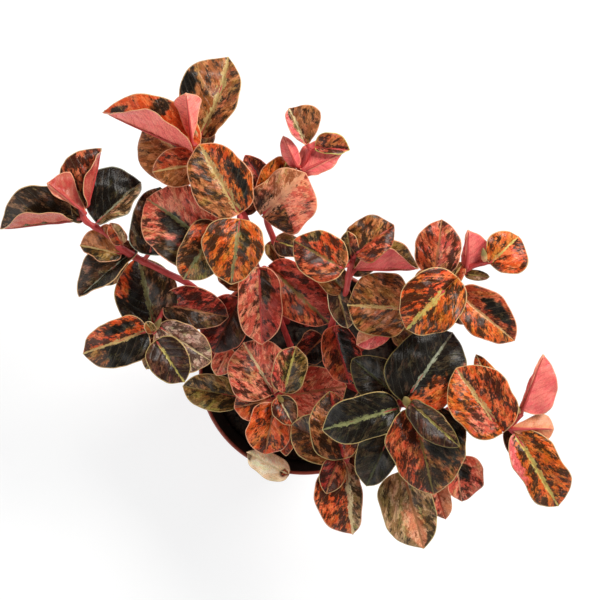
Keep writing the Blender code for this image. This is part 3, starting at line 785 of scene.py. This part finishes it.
def stalk_line(spot, spine, under):
    """From its place on the stem to the foot of the blade, and on under the midrib."""
    reach = spine[0] - spot
    leave = spot + reach * 0.5 + np.array([0, 0, -0.12 * np.linalg.norm(reach)])
    marks = [spot, leave] if np.linalg.norm(reach) >= 0.003 else [spot]
    marks.append(spine[0] + under[2] * 0.0002)
    for share in (0.10, 0.22, 0.36, 0.5, 0.64, 0.78, 0.9):
        row = int(len(spine) * share)
        marks.append(spine[row] + under[row] * 0.0001)
    return smooth_line(marks, 5)


def look_is_dark(look):
    """Whether the main tones of both halves are dark, so that the stalk is too."""
    return TONES[look.left][1].sum() + TONES[look.right][1].sum() < 380


def grow_stem(key, node, materials):
    """One leafy stem in the place of its solid."""
    piece = Piece()
    line = stem_line(key)
    luck = random.Random("stem " + key)
    joints = []
    for name, leaf in LEAVES.items():
        if leaf.stem != key:
            continue
        blade = Blade(name)
        spine, under = blade.add_to(piece)
        spot = nearest_on(line, spine[0])
        joints.append(spot)
        soft = stalk_line(spot, spine, under)
        share = np.linspace(0, 1, len(soft))
        big = min(1.0, max(leaf.widths) / 16.0)
        radii = (STALK_TAPER * (1 - share) + STALK_TIP_RADIUS) * (0.65 + 0.35 * big)
        tint = 0.65 * linear("red") + 0.35 * linear("rose")
        if look_is_dark(blade.look):
            tint = 0.6 * linear("deep_red") + 0.4 * linear("rust")
        add_tube(piece, soft, radii, 8, STALK, tint, luck.uniform(0, 90))
    taper = STEM_FOOT_RADIUS + (STEM_TIP_RADIUS - STEM_FOOT_RADIUS) * np.linspace(0, 1, len(line))
    radii = taper
    for spot in joints:
        gap = np.linalg.norm(line - spot, axis=1)
        radii = np.maximum(radii, taper * (1 + NODE_SWELL * np.exp(-(gap / NODE_REACH) ** 2)))
    tint = 0.6 * linear("red") + 0.4 * linear("deep_red")
    add_tube(piece, line, radii, 14, STALK, tint, luck.uniform(0, 90))
    for owner, *ends, radius in BUDS:
        if owner == key:
            foot, tip = place(*ends[:3]), place(*ends[3:])
            share = np.linspace(0, 1, 12)
            wide = radius * PLAN_STEP * MM * 1.05
            add_tube(piece, foot + (tip - foot) * share[:, None],
                     wide * (0.12 + np.sin(np.pi * share ** 0.75) ** 0.8), 14, BUD, linear("lemon"),
                     luck.uniform(0, 90))
    obj = piece.build(node + "_foliage", materials)
    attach(obj, "root")
    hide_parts(node)
    return obj


class Graph:
    """A short way to write the nodes of a material, or of a world."""

    def __init__(self, name, kind="materials", shader="Principled BSDF", **constants):
        self.owner = getattr(bpy.data, kind).new(name)
        self.owner.use_nodes = True
        self.tree = self.owner.node_tree
        self.shader = self.tree.nodes[shader]
        for key, value in constants.items():
            self.shader.inputs[key.replace("_", " ")].default_value = value

    def feed(self, socket, value):
        if isinstance(value, bpy.types.NodeSocket):
            self.tree.links.new(value, socket)
        else:
            socket.default_value = value

    def make(self, kind, inputs, output=0, **settings):
        node = self.tree.nodes.new(kind)
        for key, value in settings.items():
            setattr(node, key, value)
        for key, value in inputs.items():
            self.feed(node.inputs[key], value)
        return node.outputs[output]

    def number(self, name):
        """A number that each point of the mesh carries."""
        return self.make("ShaderNodeAttribute", {}, 2, attribute_name=name)

    def tone(self, name):
        """A colour that each point of the mesh carries."""
        return self.make("ShaderNodeAttribute", {}, attribute_name=name)

    def flat(self):
        """The flat place of each point in mm, and the seed of its blade or tube."""
        return self.split(self.make("ShaderNodeAttribute", {}, 1, attribute_name="flat"))

    def split(self, vector):
        node = self.tree.nodes.new("ShaderNodeSeparateXYZ")
        self.feed(node.inputs[0], vector)
        return node.outputs[0], node.outputs[1], node.outputs[2]

    def vector(self, x, y, z):
        return self.make("ShaderNodeCombineXYZ", {0: x, 1: y, 2: z})

    def vector_math(self, operation, a, b):
        return self.make("ShaderNodeVectorMath", {0: a, 1: b}, operation=operation)

    def math(self, operation, a, b=0.0, c=0.0):
        return self.make("ShaderNodeMath", {0: a, 1: b, 2: c}, operation=operation)

    def times(self, a, b):
        return self.math("MULTIPLY", a, b)

    def plus(self, a, b):
        return self.math("ADD", a, b)

    def minus(self, a, b):
        return self.math("SUBTRACT", a, b)

    def smooth(self, value, low, high, to_low=0.0, to_high=1.0):
        return self.make("ShaderNodeMapRange", {0: value, 1: low, 2: high, 3: to_low, 4: to_high},
                         interpolation_type="SMOOTHSTEP")

    def noise(self, vector, scale=1.0, detail=3.0, rough=0.6, output=0):
        return self.make("ShaderNodeTexNoise", {"Vector": vector, "Scale": scale, "Detail": detail,
                                                "Roughness": rough}, output)

    def object_noise(self, scale, detail=3.0, rough=0.55):
        return self.noise(self.make("ShaderNodeTexCoord", {}, "Object"), scale, detail, rough)

    def cells(self, vector):
        """Three random numbers for each cell of a crackled pattern."""
        return self.split(self.make("ShaderNodeTexVoronoi", {"Vector": vector, "Scale": 1.0}, 1))

    def weigh(self, *parts):
        """The sum of some values, each times its weight."""
        total = 0.0
        for weight, value in parts:
            total = self.math("MULTIPLY_ADD", value, weight, total)
        return total

    def mix(self, factor, a, b, blend="MIX"):
        def colour(value):
            return value if isinstance(value, bpy.types.NodeSocket) else (*value, 1.0)
        return self.make("ShaderNodeMix", {0: factor, 6: colour(a), 7: colour(b)}, 2,
                         data_type="RGBA", blend_type=blend)

    def layers(self, colour, *others):
        """A colour with others over it, each where its mask is, times its strength."""
        for mask, strength, other in others:
            colour = self.mix(self.times(mask, strength), colour, other)
        return colour

    def swung(self, factor, colour, value):
        """A colour whose brightness swings with a value."""
        level = self.smooth(value, 0.25, 0.75, 0.62, 1.38)
        grey = self.vector(level, level, level)
        return self.mix(factor, colour, self.mix(1.0, colour, grey, "MULTIPLY"))

    def finish(self, colour, roughness, height, strength, distance):
        self.feed(self.shader.inputs["Base Color"], colour)
        self.feed(self.shader.inputs["Roughness"], roughness)
        bump = self.make("ShaderNodeBump", {"Strength": strength, "Distance": distance,
                                            "Height": height})
        self.feed(self.shader.inputs["Normal"], bump)
        return self.owner


def blade_pattern(g):
    """The noises, cells and veins that colour a blade, laid along its side veins."""
    x, y, seed = g.flat()
    away = g.math("ABSOLUTE", y)
    run = g.minus(g.minus(x, g.times(away, VEIN_LEAN)), g.times(g.times(away, away), VEIN_BEND))

    def spot(run_scale, y_scale, shift):
        return g.vector(g.times(run, run_scale), g.times(y, y_scale), g.plus(seed, shift))

    ragged = g.noise(spot(0.9, 0.9, 5.0), rough=0.65, output=1)

    def ragged_cells(where, size):
        drift = g.vector_math("SUBTRACT", ragged, (0.5, 0.5, 0.5))
        return g.cells(g.vector_math("ADD", where, g.vector_math("MULTIPLY", drift, size)))

    def broad(*where):
        return g.smooth(g.noise(spot(*where), detail=2.0, rough=0.5), 0.36, 0.64)

    grain = g.noise(spot(1.7, 1.5, 47.0), rough=0.65)
    clouds = broad(0.17, 0.20, 9.0)
    vein = g.math("PINGPONG", g.plus(run, g.times(clouds, 0.8)), 2.6)
    return SimpleNamespace(
        away=away, spot=spot, grain=grain, clouds=clouds, glow=broad(0.20, 0.24, 37.0),
        cells=ragged_cells(spot(0.40, 0.52, 0.0), (2.0, 2.4, 0.0)),
        small=ragged_cells(spot(0.95, 1.20, 23.0), (2.2, 2.8, 0.0)),
        vein=vein, on_vein=g.smooth(vein, 0.30, 0.04),
        margin=g.smooth(g.plus(g.number("edge"), g.times(grain, 0.6)), 0.86, 0.60))


def upper_side(g, p):
    """A patchwork of three tones in cells, with pale midrib, veins and margin."""
    cells, small = p.cells, p.small
    dark, ground, rib = g.tone("dark"), g.tone("ground"), g.tone("rib")
    amount = g.number("amount")
    # where the mean of the noises is above this level the blade is dark
    level = g.minus(1.0, g.math("SQRT", g.times(amount, 0.5)))
    spread = g.minus(g.weigh((0.36, cells[0]), (0.40, p.clouds), (0.24, small[0])), level)
    light = g.smooth(g.weigh((0.34, cells[1]), (0.42, p.glow), (0.24, small[1])), 0.52, 0.58)
    colour = g.layers(ground, (light, 0.85, g.tone("light")))
    tinge = g.noise(p.spot(0.14, 0.17, 83.0))
    tinged = g.math("MINIMUM", g.times(amount, 3.0), 0.7)
    for low, high, cast in ((0.54, 0.60, (0.66, 1.02, 0.62)), (0.44, 0.38, (1.16, 0.80, 1.02))):
        tinted = g.mix(1.0, colour, cast, "MULTIPLY")
        colour = g.layers(colour, (g.smooth(tinge, low, high), tinged, tinted))
    colour = g.layers(
        colour,
        (g.smooth(spread, -0.18, -0.08), 0.42, dark),
        (g.smooth(spread, -0.03, 0.02), 0.92, dark),
        (g.smooth(small[2], 0.80, 0.86), g.plus(0.25, amount), dark))
    ragged = g.weigh((0.9, cells[2]), (0.6, small[0]), (0.8, p.grain))
    on_rib = g.smooth(g.plus(g.number("rib_share"), ragged), 2.25, 2.05)
    return g.layers(
        g.swung(0.55, colour, p.grain),
        (on_rib, 0.86, g.layers(rib, (g.smooth(small[1], 0.55, 0.75), 0.40, ground))),
        (p.on_vein, 0.07, rib),
        (g.smooth(p.away, 0.36, 0.10), 0.45, rib),
        (p.margin, 0.88, g.tone("margin")))


def underside(g, p):
    """A soft tone with rosy blotches and veins, and a pale midrib and margin."""
    under, rose, peach = g.tone("under"), linear("rose"), linear("peach")
    soft = g.smooth(g.noise(p.spot(0.22, 0.22, 61.0)), 0.38, 0.62)
    deep = g.smooth(g.noise(p.spot(0.5, 0.3, 71.0)), 0.50, 0.64)
    colour = g.layers(under, (soft, 0.55, g.mix(0.22, under, linear("cream"))), (deep, 0.40, rose))
    return g.layers(
        g.swung(0.35, colour, p.grain),
        (p.on_vein, 0.50, rose),
        (g.smooth(p.away, 0.9, 0.2), 0.5, peach),
        (p.margin, 0.8, peach))


def leaf_material():
    g = Graph("leaf_blade", Specular_IOR_Level=0.20)
    p = blade_pattern(g)
    colour = g.mix(g.smooth(g.number("side"), -0.3, 0.3), underside(g, p), upper_side(g, p))
    rough = g.plus(0.13, g.times(p.grain, 0.26))
    height = g.weigh((0.6, g.smooth(p.vein, 0.0, 1.0)), (0.9, p.grain), (0.15, p.small[0]))
    return g.finish(colour, rough, height, 0.45, 0.00030)


def stem_material():
    g = Graph("red_stem", Specular_IOR_Level=0.45)
    x, y, z = g.flat()
    streak = g.noise(g.vector(g.times(x, 0.12), y, z), 1.4)
    colour = g.mix(g.smooth(streak, 0.40, 0.66), g.tone("ground"), linear("rose"))
    fine = g.noise(g.vector(g.times(x, 0.5), y, z), 4.0)
    colour = g.layers(colour, (g.smooth(fine, 0.55, 0.72), 0.5, linear("deep_red")))
    return g.finish(colour, g.plus(0.36, g.times(fine, 0.2)), fine, 0.5, 0.0003)


def bud_material():
    g = Graph("bud", Specular_IOR_Level=0.45)
    x, y, z = g.flat()
    streak = g.noise(g.vector(g.times(x, 0.3), y, z), 1.2)
    colour = g.mix(g.smooth(streak, 0.42, 0.58), linear("khaki"), linear("salmon"))
    colour = g.mix(g.smooth(x, 3.5, 6.0), colour, linear("olive"))
    return g.finish(colour, g.plus(0.4, g.times(streak, 0.2)), streak, 0.5, 0.0003)


def plastic_material(painted_shade):
    """Brown-red plastic; the second copy, for the inside of the pot, is painted shade: nearly
    black, with the plastic showing through in patches.
    """
    g = Graph("pot_plastic_painted_shade" if painted_shade else "pot_plastic",
              Specular_IOR_Level=0.25 if painted_shade else 0.4)
    cloud = g.object_noise(34.0)
    grain = g.object_noise(1500.0, 2.0)
    dust = g.smooth(g.object_noise(120.0, 4.0, 0.65), 0.56, 0.70)
    colour = g.mix(g.smooth(cloud, 0.35, 0.65), (0.20, 0.034, 0.017), (0.27, 0.052, 0.030))
    colour = g.layers(colour, (dust, 0.20, (0.36, 0.17, 0.12)))
    # painted shade over the inside: nearly black, except in patches where the plastic shows through
    if painted_shade:
        bare_patches = g.smooth(g.object_noise(260.0, 5.0, 0.7), 0.66, 0.72)
        colour = g.layers((0.012, 0.008, 0.006), (bare_patches, 0.6, colour))
    return g.finish(colour, g.plus(0.42, g.times(dust, 0.22)), grain, 0.25, 0.0002)


def soil_material():
    g = Graph("potting_soil", Specular_IOR_Level=0.2)
    crumb = g.object_noise(420.0, 5.0, 0.7)
    colour = g.layers(
        g.mix(g.smooth(crumb, 0.38, 0.66), (0.009, 0.008, 0.0068), (0.038, 0.028, 0.020)),
        (g.smooth(g.object_noise(95.0), 0.60, 0.72), 0.5, (0.075, 0.046, 0.026)),
        (g.smooth(g.object_noise(900.0, 2.0), 0.70, 0.76), 0.6, (0.15, 0.095, 0.055)))
    return g.finish(colour, g.plus(0.75, g.times(crumb, 0.25)), crumb, 0.9, 0.0012)


def outer_radius(z):
    return POT_BASE_RADIUS + (POT_TOP_RADIUS - POT_BASE_RADIUS) * z / RIM_HEIGHT


def inner_radius(z):
    return outer_radius(z) - POT_WALL


def circle(bm, radius, z, steps):
    """Points of a level circle, or one point repeated where it has no radius."""
    if radius == 0:
        return [bm.verts.new((0, 0, z))] * steps
    turns = [2 * math.pi * k / steps for k in range(steps)]
    return [bm.verts.new((radius * math.cos(a), radius * math.sin(a), z)) for a in turns]


def skin(bm, rings):
    """Faces between neighbouring rings of points."""
    for low, high in zip(rings, rings[1:]):
        for k in range(len(low)):
            after = (k + 1) % len(low)
            corners = list(dict.fromkeys((low[k], low[after], high[after], high[k])))
            if len(corners) > 2:
                bm.faces.new(corners)
    bmesh.ops.recalc_face_normals(bm, faces=bm.faces[:])


def drill(obj, radius, depth, spots):
    """Round upright holes through an object."""
    cutters = []
    for x, y, z in spots:
        bm = bmesh.new()
        bmesh.ops.create_cone(bm, cap_ends=True, segments=40, radius1=radius, radius2=radius,
                              depth=depth)
        bmesh.ops.translate(bm, verts=bm.verts[:], vec=(x, y, z))
        cutters.append(new_object("drain", new_mesh("drain", bm)))
        knife = obj.modifiers.new("drain", "BOOLEAN")
        knife.object = cutters[-1]
        knife.solver = "EXACT"
    depsgraph = bpy.context.evaluated_depsgraph_get()
    holed = bpy.data.meshes.new_from_object(obj.evaluated_get(depsgraph))
    obj.modifiers.clear()
    obj.data = holed
    for cutter in cutters:
        bpy.data.objects.remove(cutter, do_unlink=True)


def make_pot():
    """The pot with its rolled lip, a step under the rim band and the drain holes."""
    band = RIM_HEIGHT - RIM_BAND_HEIGHT
    # radius and height, from the middle of the floor up the inside
    profile = [(0.0, POT_FLOOR), (0.030, POT_FLOOR), (inner_radius(POT_FLOOR) - 0.002, POT_FLOOR),
               (inner_radius(POT_FLOOR) - 0.0005, POT_FLOOR + 0.0006)]
    profile += [(inner_radius(z), z) for z in (0.006, 0.04, band)]
    profile.append((inner_radius(band) + 0.0016, band + 0.0035))
    # over the lip
    for k in range(9):
        angle = math.pi * k / 8
        profile.append((RIM_RADIUS - LIP_RADIUS - LIP_RADIUS * math.cos(angle),
                        RIM_HEIGHT - LIP_RADIUS + LIP_RADIUS * math.sin(angle)))
    # and down the outside to the middle of the base
    profile += [(RIM_RADIUS - 0.0004, band + 0.0004), (RIM_RADIUS - 0.0010, band),
                (outer_radius(band) + 0.0006, band), (outer_radius(band), band - 0.0006),
                (outer_radius(band) - 0.0002, band - 0.004)]
    profile += [(outer_radius(z), z) for z in (0.06, 0.03, 0.004, 0.0012)]
    profile += [(POT_BASE_RADIUS - 0.0004, 0.0003), (POT_BASE_RADIUS - 0.0012, 0.0), (0.030, 0.0),
                (0.0, 0.0)]
    bm = bmesh.new()
    skin(bm, [circle(bm, r, z, POT_STEPS) for r, z in profile])
    pot = new_object("pot_plastic_shell", new_mesh("pot_plastic_shell", bm))
    turns = [2 * math.pi * (i + DRAIN_TURN) / DRAIN_HOLES for i in range(DRAIN_HOLES)]
    drill(pot, DRAIN_RADIUS, POT_FLOOR * 3,
          [(DRAIN_CIRCLE * math.cos(a), DRAIN_CIRCLE * math.sin(a), POT_FLOOR / 2) for a in turns])
    pot.data.materials.clear()
    for painted_shade in (False, True):
        pot.data.materials.append(plastic_material(painted_shade))
    # the faces of the inside below the lip, and the top of the floor, take the nearly black painted
    # shade
    for face in pot.data.polygons:
        spot, way = face.center, face.normal
        inward = way.x * spot.x + way.y * spot.y < 0 or way.z > 0.9
        if spot.z < RIM_HEIGHT - 0.0014 and inward:
            face.material_index = 1
    pot.data.shade_smooth()
    pot.data.set_sharp_from_angle(angle=math.radians(42))
    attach(pot, "root")
    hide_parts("pot")


def lump(x, y):
    """How far a lump of the soil stands out."""
    broad = noise.noise(Vector((x, y, 0)) * 90)
    return 0.0016 * broad + 0.0011 * noise.noise(Vector((x, y, 3)) * 300)


def scatter_crumbs(bm, reach, level):
    """Small rough stretched grains on the soil."""
    luck = random.Random(12)
    for _ in range(CRUMBS):
        r = reach * math.sqrt(luck.random())
        a = luck.uniform(0, 6.283)
        size = 0.0005 + 0.0013 * luck.random() ** 2.5
        crumb = bmesh.ops.create_icosphere(bm, subdivisions=1, radius=size)["verts"]
        turn = Vector((luck.random(), luck.random(), luck.random()))
        stretch = luck.uniform(0.7, 2.2)
        spin = luck.uniform(0, 6.283)
        c, s = math.cos(spin), math.sin(spin)
        x, y = r * math.cos(a), r * math.sin(a)
        up = level + lump(x, y) + size * 0.3
        for vert in crumb:
            vert.co = vert.co * (1 + 0.35 * noise.noise(vert.co * 900 + turn * 50))
            vert.co.x *= stretch
            vert.co = Vector((vert.co.x * c - vert.co.y * s + x, vert.co.x * s + vert.co.y * c + y,
                              vert.co.z + up))


def make_soil():
    """Lumpy peat with loose crumbs, filling the pot up to 10 mm under its rim."""
    top = RIM_HEIGHT - SOIL_DROP
    level = top - 0.0006
    edge = inner_radius(min(top, RIM_HEIGHT - RIM_BAND_HEIGHT)) - GAP
    low = POT_FLOOR + GAP
    bm = bmesh.new()
    rings = []
    for i in range(SOIL_RINGS + 1):
        r = edge * i / SOIL_RINGS
        ring = []
        for k in range(SOIL_STEPS if i else 1):
            a = 2 * math.pi * k / SOIL_STEPS
            x, y = r * math.cos(a), r * math.sin(a)
            height = lump(x, y) + 0.0006 * noise.noise(Vector((x, y, 7)) * 800)
            drop = 0.0016 * max(0.0, (r - edge + 0.003) / 0.003)
            ring.append(bm.verts.new((x, y, level + height * (1 - 0.5 * i / SOIL_RINGS) - drop)))
        rings.append(ring if i else ring * SOIL_STEPS)
    rings += [circle(bm, inner_radius(z) - GAP, z, SOIL_STEPS) for z in (0.06, 0.03, low)]
    rings.append(circle(bm, 0, low, SOIL_STEPS))
    skin(bm, rings)
    scatter_crumbs(bm, edge * 0.97, level)
    soil = new_object("peat_surface", new_mesh("peat", bm))
    soil.data.materials.append(soil_material())
    soil.data.shade_smooth()
    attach(soil, "root")
    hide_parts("soil")


def make_floor():
    """A pale table that also glows, as if lit from below."""
    g = Graph("pale_floor", Specular_IOR_Level=0.1, Emission_Strength=0.71,
              Emission_Color=(0.975, 0.99, 1.0, 1.0))
    soft = g.object_noise(3.0, 2.0)
    colour = g.mix(g.smooth(soft, 0.3, 0.7), (0.315, 0.315, 0.315), (0.325, 0.325, 0.325))
    bm = bmesh.new()
    bmesh.ops.create_grid(bm, x_segments=8, y_segments=8, size=4.0)
    floor = new_object("floor", new_mesh("floor", bm))
    floor.data.materials.append(g.finish(colour, 0.8, soft, 0.02, 0.001))


def make_light():
    """A world that is brightest at the horizon, a soft key light at the upper right, and a fill."""
    g = Graph("studio", "worlds", "Background", Color=(1.0, 0.99, 0.97, 1.0))
    x, y, up = g.split(g.make("ShaderNodeTexCoord", {}, "Generated"))
    g.feed(g.shader.inputs["Strength"], g.smooth(up, 0.35, 0.95, 0.95, 0.05))
    bpy.context.scene.world = g.owner
    for name, spot, size, power, colour in (
        ("key", (0.95, 0.85, 1.25), 0.7, 34.0, (1.0, 0.97, 0.92)),
        ("fill", (-1.2, -0.5, 1.1), 1.0, 9.0, (1.0, 0.99, 0.97)),
    ):
        lamp = bpy.data.lights.new(name, "AREA")
        lamp.shape = "SQUARE"
        lamp.size = size
        lamp.energy = power
        lamp.color = colour
        obj = new_object(name, lamp)
        obj.location = spot
        aim = Vector((0, 0.02, 0.1)) - Vector(spot)
        obj.rotation_euler = aim.to_track_quat("-Z", "Y").to_euler()


def make_camera():
    """The eye above the plan, whose half width just fills the frame at the rim's height."""
    lens = bpy.data.cameras.new("camera")
    lens.lens = lens.sensor_width / 2 / (PLAN_HALF_WIDTH * PLAN_STEP / EYE_HEIGHT)
    lens.clip_start = 0.05
    camera = new_object("camera", lens)
    camera.location = place(*PLAN_EYE, EYE_HEIGHT)
    bpy.context.scene.camera = camera
    bpy.context.scene.view_settings.view_transform = "Standard"


leaf_look = leaf_material()
plant_materials = [leaf_look, stem_material(), bud_material()]
for key, (node, slot) in STEM_NODES.items():
    grow_stem(key, node, plant_materials)
dry = Piece()
Blade("withered_leaf").add_to(dry)
dry_leaf = dry.build("withered_leaf_crumpled", [leaf_look])
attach(dry_leaf, "root")
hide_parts("withered_leaf")
make_pot()
make_soil()
make_floor()
make_light()
make_camera()
